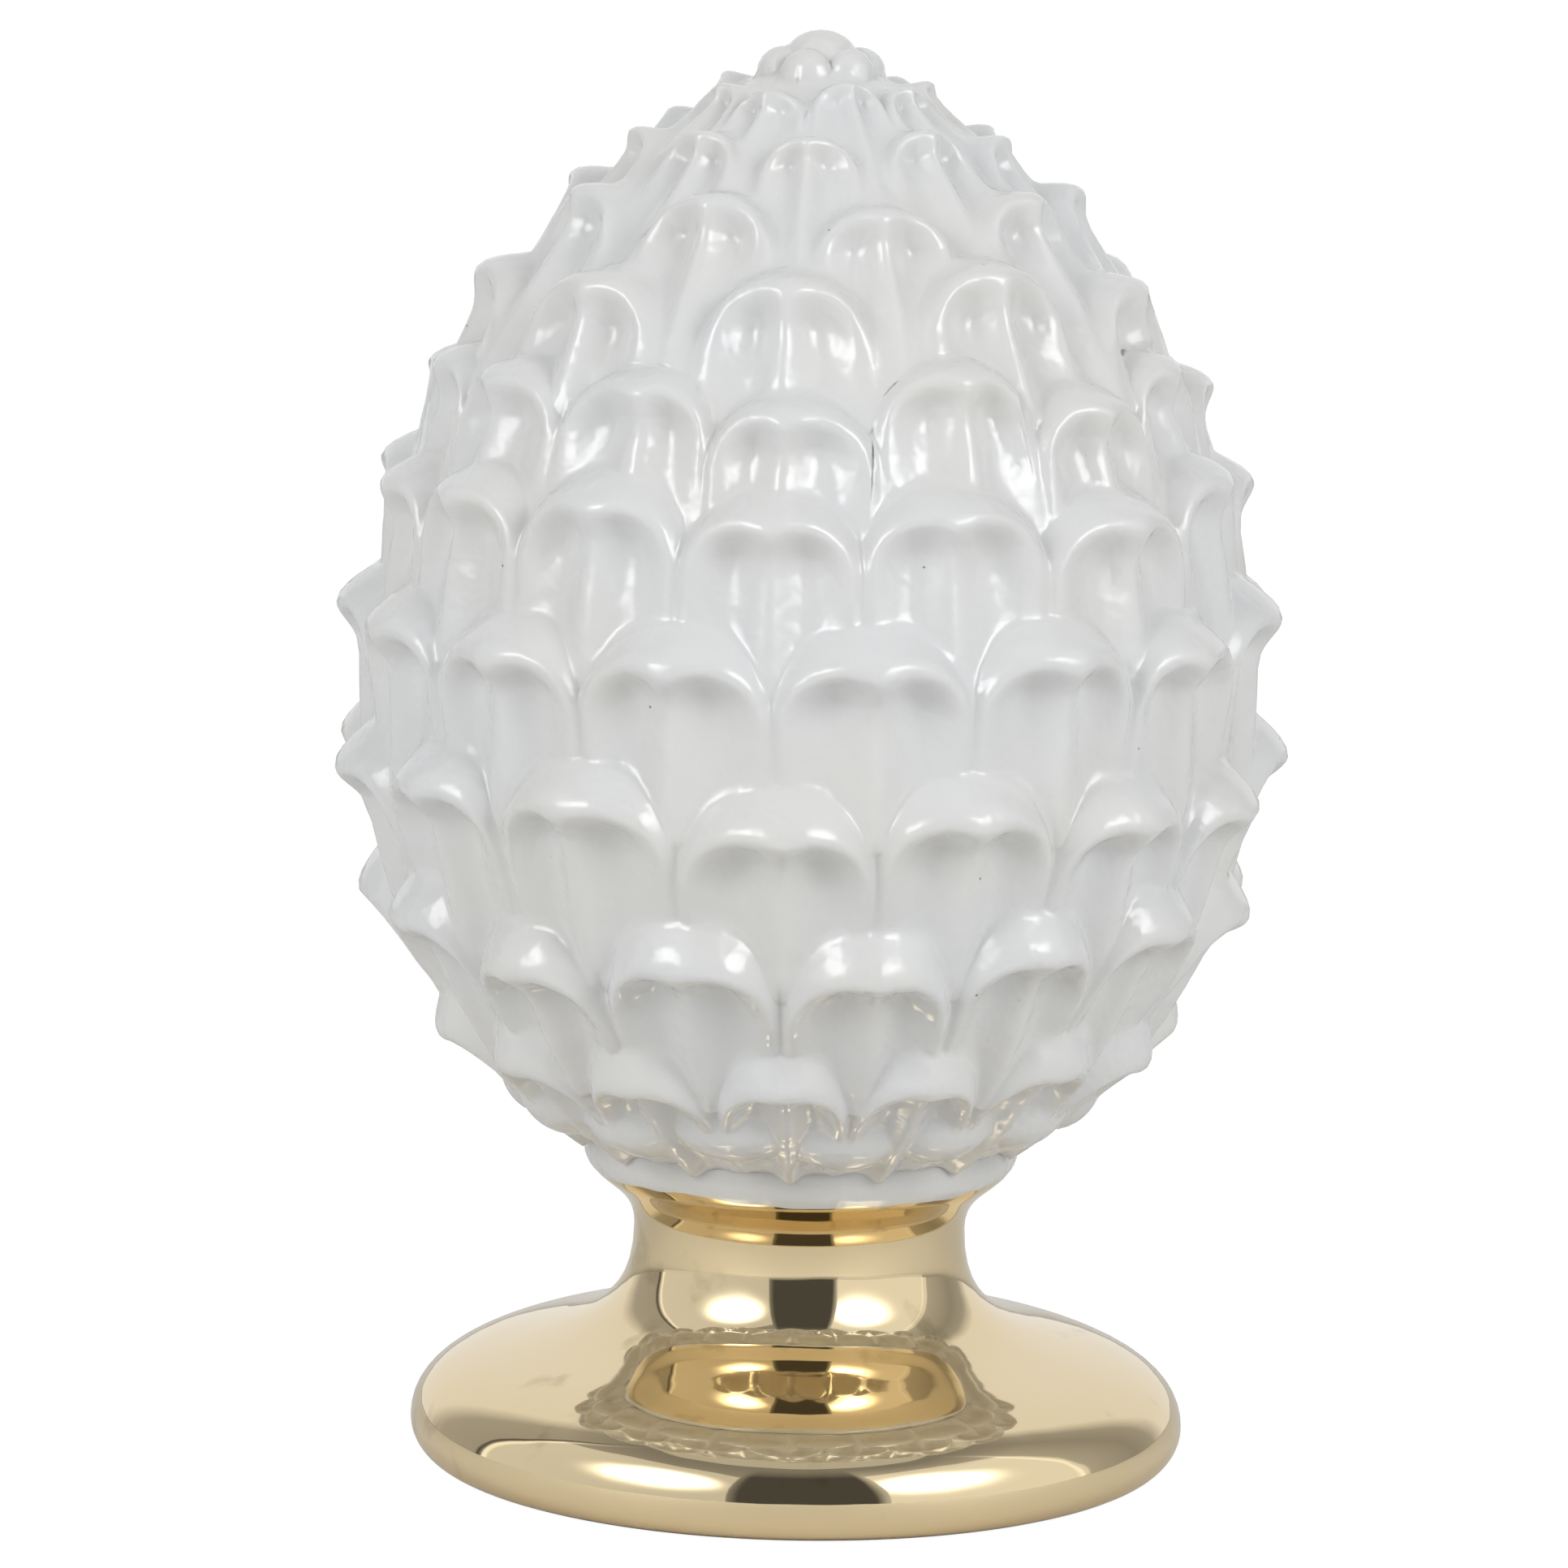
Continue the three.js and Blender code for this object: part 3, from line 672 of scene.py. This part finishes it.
def lustre_material():
    """Gold lustre, fired on the glaze: slightly uneven, with faint wear."""
    material, shader = principled("gold_lustre", LUSTRE_COLOUR, LUSTRE_ROUGHNESS, metallic=1.0)
    nodes, links = material.node_tree.nodes, material.node_tree.links
    place = nodes.new("ShaderNodeTexCoord")
    wear = eased(nodes, links, noise(nodes, links, place, WEAR_PATCHES, WEAR_DETAIL), *WEAR_RANGE)
    links.new(mixed(nodes, links, wear, LUSTRE_COLOUR, WORN_LUSTRE), shader.inputs["Base Color"])
    bumped(nodes, links, noise(nodes, links, place, LUSTRE_RIPPLES), LUSTRE_RIPPLE_HEIGHT, shader)
    return material


def bisque_material():
    """Bare fired clay, under the foot."""
    return principled("bisque", BISQUE_COLOUR, BISQUE_ROUGHNESS)[0]


def paint_finial(mesh, white_faces):
    """Glaze above the lustre's edge, lustre under it and bare clay on the underside."""
    for material in (glaze_material(), lustre_material(), bisque_material()):
        mesh.materials.append(material)
    lustre, bisque = 1, 2
    rim_inside = FOOT_RADIUS - RIM_ROUNDING
    for face in mesh.polygons:
        if face.index >= white_faces:
            under = face.center.xy.length < rim_inside and face.center.z <= RECESS_DEPTH
            face.material_index = bisque if under else lustre


def make_finial():
    """The one visible piece, which stands for the solid."""
    mesh, white_faces = finial_mesh()
    paint_finial(mesh, white_faces)
    finial = bpy.data.objects.new("pinecone_glazed", mesh)
    bpy.context.collection.objects.link(finial)
    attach(finial, "root")
    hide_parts("pinecone_finial")


def make_floor():
    """A pale floor, which the camera sees nearly white."""
    corners = [(-FLOOR_REACH, -FLOOR_REACH, 0), (FLOOR_REACH, -FLOOR_REACH, 0)]
    corners += [(FLOOR_REACH, FLOOR_REACH, 0), (-FLOOR_REACH, FLOOR_REACH, 0)]
    mesh = bpy.data.meshes.new("floor")
    mesh.from_pydata(corners, [], [(0, 1, 2, 3)])
    material, shader = principled("pale_floor", FLOOR_COLOUR, FLOOR_ROUGHNESS)
    nodes, links = material.node_tree.nodes, material.node_tree.links
    white = nodes.new("ShaderNodeEmission")
    white.inputs["Strength"].default_value = FLOOR_WHITE
    seen = nodes.new("ShaderNodeLightPath")
    share = worked(nodes, links, "MULTIPLY", seen.outputs["Is Camera Ray"], 1 - FLOOR_SHADE)
    either = nodes.new("ShaderNodeMixShader")
    links.new(share, either.inputs["Fac"])
    links.new(shader.outputs["BSDF"], either.inputs[1])
    links.new(white.outputs["Emission"], either.inputs[2])
    links.new(either.outputs["Shader"], nodes["Material Output"].inputs["Surface"])
    mesh.materials.append(material)
    floor = bpy.data.objects.new("floor", mesh)
    bpy.context.collection.objects.link(floor)


def lamp_behind(light, place):
    """Makes a panel brightest round a place on it, as the cloth in front of a lamp is."""
    light.use_nodes = True
    nodes, links = light.node_tree.nodes, light.node_tree.links
    across = nodes.new("ShaderNodeNewGeometry")
    scaled = nodes.new("ShaderNodeVectorMath")
    scaled.operation = "MULTIPLY"
    scaled.inputs[1].default_value = (light.size, light.size_y, 0.0)
    away = nodes.new("ShaderNodeVectorMath")
    away.operation = "DISTANCE"
    away.inputs[1].default_value = (place[0], place[1], 0.0)
    fall = nodes.new("ShaderNodeMapRange")
    fall.interpolation_type = "SMOOTHERSTEP"
    fall.inputs["From Min"].default_value = 0.0
    fall.inputs["From Max"].default_value = LAMP_REACH
    fall.inputs["To Min"].default_value = 1.0
    fall.inputs["To Max"].default_value = 0.0
    links.new(across.outputs["Parametric"], scaled.inputs[0])
    links.new(scaled.outputs["Vector"], away.inputs[0])
    links.new(away.outputs["Value"], fall.inputs["Value"])
    focus = worked(nodes, links, "POWER", fall.outputs["Result"], LAMP_FOCUS)
    strength = worked(nodes, links, "MULTIPLY_ADD", focus, LAMP_GLOW / SOFTBOX_GLOW, 1.0)
    links.new(strength, nodes["Emission"].inputs["Strength"])


def softbox(name, edges, lamp):
    """A standing panel of light between two azimuths, with its lamp behind a third."""
    middle = math.radians(sum(edges) / 2)
    width = 2 * SOFTBOX_AWAY * math.tan(math.radians(edges[1] - edges[0]) / 2)
    light = bpy.data.lights.new(name, "AREA")
    light.shape = "RECTANGLE"
    light.size, light.size_y = width, SOFTBOX_TOP
    light.energy = SOFTBOX_GLOW * math.pi * width * SOFTBOX_TOP
    lamp_across = width / 2 + SOFTBOX_AWAY * math.tan(math.radians(lamp) - middle)
    lamp_behind(light, (lamp_across, LAMP_HEIGHT))
    panel = bpy.data.objects.new(name, light)
    bpy.context.collection.objects.link(panel)
    outwards = Vector((math.sin(middle), -math.cos(middle), 0))
    panel.location = SOFTBOX_AWAY * outwards + Vector((0, 0, SOFTBOX_TOP / 2))
    panel.rotation_euler = (-outwards).to_track_quat("-Z", "Y").to_euler()
    panel.visible_camera = False


def overhead_light():
    """A round panel high over the finial."""
    light = bpy.data.lights.new("overhead", "AREA")
    light.shape = "DISK"
    light.size = OVERHEAD_SIZE
    light.energy = OVERHEAD_LIGHT * math.pi * 0.25 * math.pi * OVERHEAD_SIZE**2
    panel = bpy.data.objects.new("overhead", light)
    bpy.context.collection.objects.link(panel)
    panel.location = (0, 0, OVERHEAD_HEIGHT)


def wall_ramp(nodes):
    """Colours of the walls from azimuth -180 to 180 degrees."""
    ramp = nodes.new("ShaderNodeValToRGB")
    stops = ramp.color_ramp.elements
    while len(stops) < len(WALLS):
        stops.new(0.5)
    for k, (azimuth, grey) in enumerate(WALLS):
        stops[k].position = 0.5 + azimuth / 360
        stops[k].color = (grey, grey, grey, 1)
    return ramp


def wall_azimuth(nodes, links, parts):
    """The azimuth of a direction, from 0 at -180 degrees to 1 at 180."""
    ahead = worked(nodes, links, "MULTIPLY", parts.outputs["Y"], -1.0)
    azimuth = worked(nodes, links, "ARCTAN2", parts.outputs["X"], ahead)
    share = nodes.new("ShaderNodeMapRange")
    share.inputs["From Min"].default_value = -math.pi
    share.inputs["From Max"].default_value = math.pi
    links.new(azimuth, share.inputs["Value"])
    return share.outputs["Result"]


def room_colour(nodes, links):
    """The walls' greys by azimuth, going over into the ceiling's."""
    place = nodes.new("ShaderNodeTexCoord")
    parts = nodes.new("ShaderNodeSeparateXYZ")
    links.new(place.outputs["Generated"], parts.inputs["Vector"])
    ramp = wall_ramp(nodes)
    links.new(wall_azimuth(nodes, links, parts), ramp.inputs["Fac"])
    overhead = nodes.new("ShaderNodeMapRange")
    overhead.inputs["From Min"].default_value = CEILING_FROM
    overhead.inputs["From Max"].default_value = CEILING_TO
    links.new(parts.outputs["Z"], overhead.inputs["Value"])
    ceiling = (CEILING, CEILING, CEILING)
    return mixed(nodes, links, overhead.outputs["Result"], ramp.outputs["Color"], ceiling)


def make_surroundings():
    """Walls and ceiling that light the object, and a white backdrop for the camera alone."""
    world = bpy.data.worlds.new("studio")
    world.use_nodes = True
    bpy.context.scene.world = world
    nodes, links = world.node_tree.nodes, world.node_tree.links
    room = nodes["Background"]
    room.inputs["Strength"].default_value = WALL_LIGHT
    links.new(room_colour(nodes, links), room.inputs["Color"])
    backdrop = nodes.new("ShaderNodeBackground")
    backdrop.inputs["Color"].default_value = (1, 1, 1, 1)
    seen = nodes.new("ShaderNodeLightPath")
    either = nodes.new("ShaderNodeMixShader")
    links.new(seen.outputs["Is Camera Ray"], either.inputs["Fac"])
    links.new(room.outputs["Background"], either.inputs[1])
    links.new(backdrop.outputs["Background"], either.inputs[2])
    links.new(either.outputs["Shader"], nodes["World Output"].inputs["Surface"])


def make_camera():
    """A long lens that looks down a little, rolled as the photo is."""
    camera = bpy.data.cameras.new("camera")
    camera.lens = LENS
    camera.sensor_width = SENSOR
    holder = bpy.data.objects.new("camera", camera)
    bpy.context.collection.objects.link(holder)
    back = Vector((0, -math.cos(CAMERA_RISE), math.sin(CAMERA_RISE)))
    right = Vector((1, 0, 0))
    facing = Matrix((right, back.cross(right), back)).transposed()
    rolled = (facing @ Matrix.Rotation(CAMERA_ROLL, 3, "Z")).to_4x4()
    holder.matrix_world = Matrix.Translation(Vector(AIM) + CAMERA_AWAY * back) @ rolled
    bpy.context.scene.camera = holder


make_finial()
make_floor()
make_surroundings()
softbox("left_softbox", LEFT_SOFTBOX, -LAMP_AZIMUTH)
softbox("right_softbox", RIGHT_SOFTBOX, LAMP_AZIMUTH)
overhead_light()
make_camera()
bpy.context.scene.view_settings.view_transform = "Standard"
